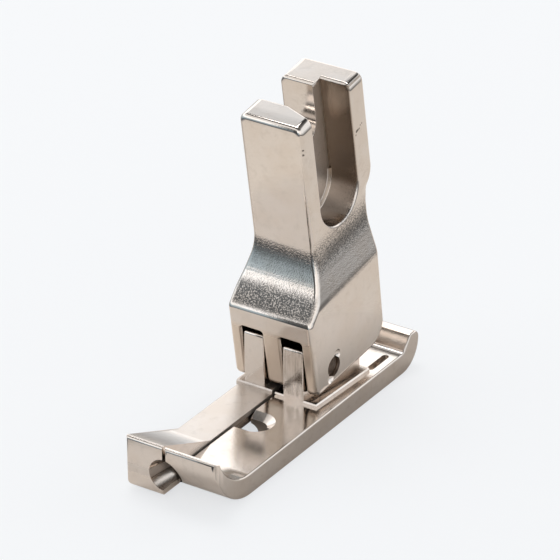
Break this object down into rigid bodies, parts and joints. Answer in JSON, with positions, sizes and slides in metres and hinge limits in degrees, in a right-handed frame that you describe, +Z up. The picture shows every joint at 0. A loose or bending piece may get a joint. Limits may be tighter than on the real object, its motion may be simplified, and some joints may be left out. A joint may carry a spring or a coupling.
{
  "type": "sewing machine presser foot",
  "caption": "High-shank hinged presser foot with a split sole, a cord tunnel through the toe and a side channel for the presser bar.",
  "frame": {"origin": "centre of the bounding box's bottom face, on the surface the soles stand on", "axes": "+Z up from the sole's underside, +Y from the toe towards the heel, +X to the foot's right, the open side of the presser-bar channel"},
  "size_m": [0.011, 0.0352, 0.0331],
  "materials": {
    "plated_casting": "satin nickel plate over a fine cast grain",
    "plated_sole": "polished nickel plate",
    "pin_steel": "darkened steel",
    "spring_steel": "bright spring wire"
  },
  "bodies": {
    "shank": {"shank": "plated_casting", "pivot_pin": "pin_steel", "left_spring": "spring_steel", "right_spring": "spring_steel"},
    "left_sole": {"left_sole": "plated_sole"},
    "right_sole": {"right_sole": "plated_sole"}
  },
  "joints": [
    {"name": "left_sole_hinge", "type": "hinge", "parent": "shank", "child": "left_sole", "pos_m": [-0.00075, 0.00445, 0.00525], "axis": [1, 0, 0], "range_deg": [0, 10], "stiffness_Nm_per_rad": 0.02, "springref_deg": -8.59, "deforming": ["left_spring"]},
    {"name": "right_sole_hinge", "type": "hinge", "parent": "shank", "child": "right_sole", "pos_m": [-0.00075, 0.00445, 0.00525], "axis": [1, 0, 0], "range_deg": [0, 10], "stiffness_Nm_per_rad": 0.02, "springref_deg": -8.59, "deforming": ["right_spring"]}
  ]
}
